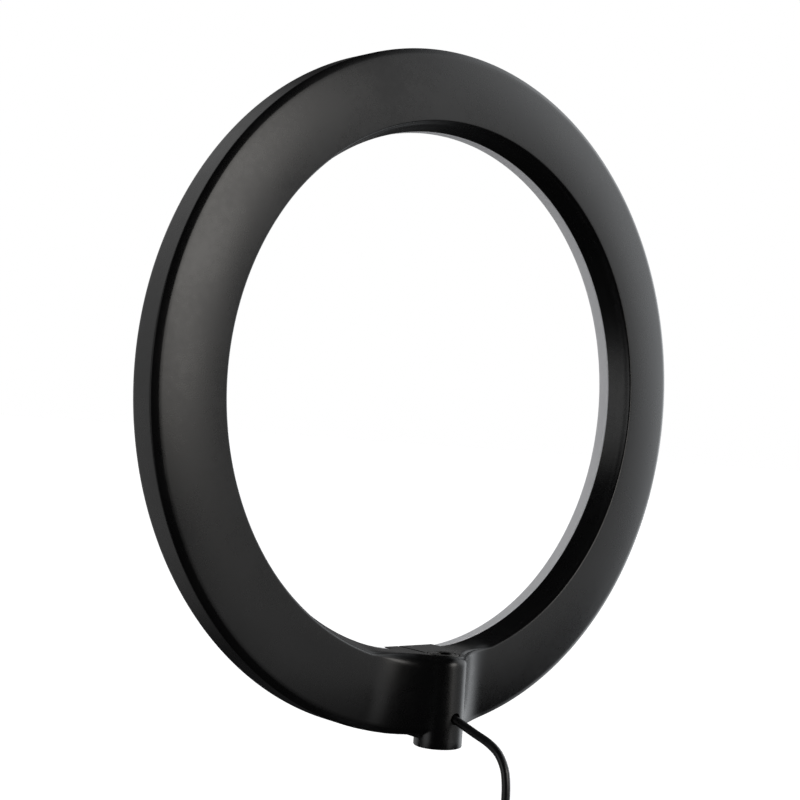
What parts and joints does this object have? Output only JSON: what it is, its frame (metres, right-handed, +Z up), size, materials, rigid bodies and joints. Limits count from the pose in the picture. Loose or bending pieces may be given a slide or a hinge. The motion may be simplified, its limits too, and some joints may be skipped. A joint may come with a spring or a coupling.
{
  "type": "ring light",
  "caption": "Black ring light head with milky diffuser, rear column with threaded stand and phone-holder sockets, and a USB cable with in-line controller.",
  "frame": {"origin": "mouth of the stand socket: centre of the column's flat lower end, where the stand's screw enters", "axes": "+Z up along the column towards the ring's centre; -Y the way the light shines; +Y the rear, where the cable leaves; +X to the left seen from behind"},
  "size_m": [0.26, 0.0628, 0.3379],
  "materials": {
    "housing_plastic": "satin moulded black with a fine spark texture",
    "diffuser_plastic": "milky translucent",
    "board_white": "white solder mask",
    "screw_steel": "zinc plated",
    "insert_brass": "turned, blackened outside",
    "cable_jacket": "smooth PVC",
    "lead_red": "PVC insulation",
    "lead_yellow": "PVC insulation",
    "lead_white": "PVC insulation",
    "strap_fabric": "woven hook and loop",
    "controller_plastic": "satin moulded black",
    "board_green": "green solder mask",
    "switch_steel": "stamped cover",
    "button_rubber": "soft grey",
    "relief_rubber": "moulded PVC",
    "overmould_plastic": "moulded PVC",
    "usb_steel": "nickel plated",
    "tongue_plastic": "white"
  },
  "bodies": {
    "light": {"rear_housing": "housing_plastic", "diffuser": "diffuser_plastic", "led_board_left": "board_white", "led_board_right": "board_white", "board_screw_1": "screw_steel", "board_screw_2": "screw_steel", "board_screw_3": "screw_steel", "board_screw_4": "screw_steel", "board_screw_5": "screw_steel", "board_screw_6": "screw_steel", "stand_insert": "insert_brass", "holder_insert": "insert_brass", "cable_stop": "cable_jacket", "lead_common": "lead_red", "jumper_common": "lead_red", "lead_warm": "lead_yellow", "jumper_warm": "lead_yellow", "lead_cool": "lead_white", "jumper_cool": "lead_white", "cord_drop": "cable_jacket", "cord_coil": "cable_jacket", "coil_tie": "strap_fabric", "cord_link": "cable_jacket", "cord_tail": "cable_jacket", "controller_bottom": "controller_plastic", "controller_top": "controller_plastic", "controller_board": "board_green", "switch_power": "switch_steel", "switch_colour": "switch_steel", "switch_brighter": "switch_steel", "switch_dimmer": "switch_steel", "controller_screw_1": "screw_steel", "controller_screw_2": "screw_steel", "relief_in": "relief_rubber", "relief_out": "relief_rubber", "plug_relief": "relief_rubber", "usb_overmould": "overmould_plastic", "usb_shell": "usb_steel", "usb_tongue": "tongue_plastic"},
    "power_button": {"button_power": "button_rubber"},
    "colour_button": {"button_colour": "button_rubber"},
    "brighter_button": {"button_brighter": "button_rubber"},
    "dimmer_button": {"button_dimmer": "button_rubber"}
  },
  "joints": [
    {"name": "press_power", "type": "slide", "parent": "light", "child": "power_button", "axis": [0, 0, -1], "range_m": [0, 0.0005], "stiffness_N_per_m": 900},
    {"name": "press_colour", "type": "slide", "parent": "light", "child": "colour_button", "axis": [0, 0, -1], "range_m": [0, 0.0005], "stiffness_N_per_m": 900},
    {"name": "press_brighter", "type": "slide", "parent": "light", "child": "brighter_button", "axis": [0, 0, -1], "range_m": [0, 0.0005], "stiffness_N_per_m": 900},
    {"name": "press_dimmer", "type": "slide", "parent": "light", "child": "dimmer_button", "axis": [0, 0, -1], "range_m": [0, 0.0005], "stiffness_N_per_m": 900}
  ]
}
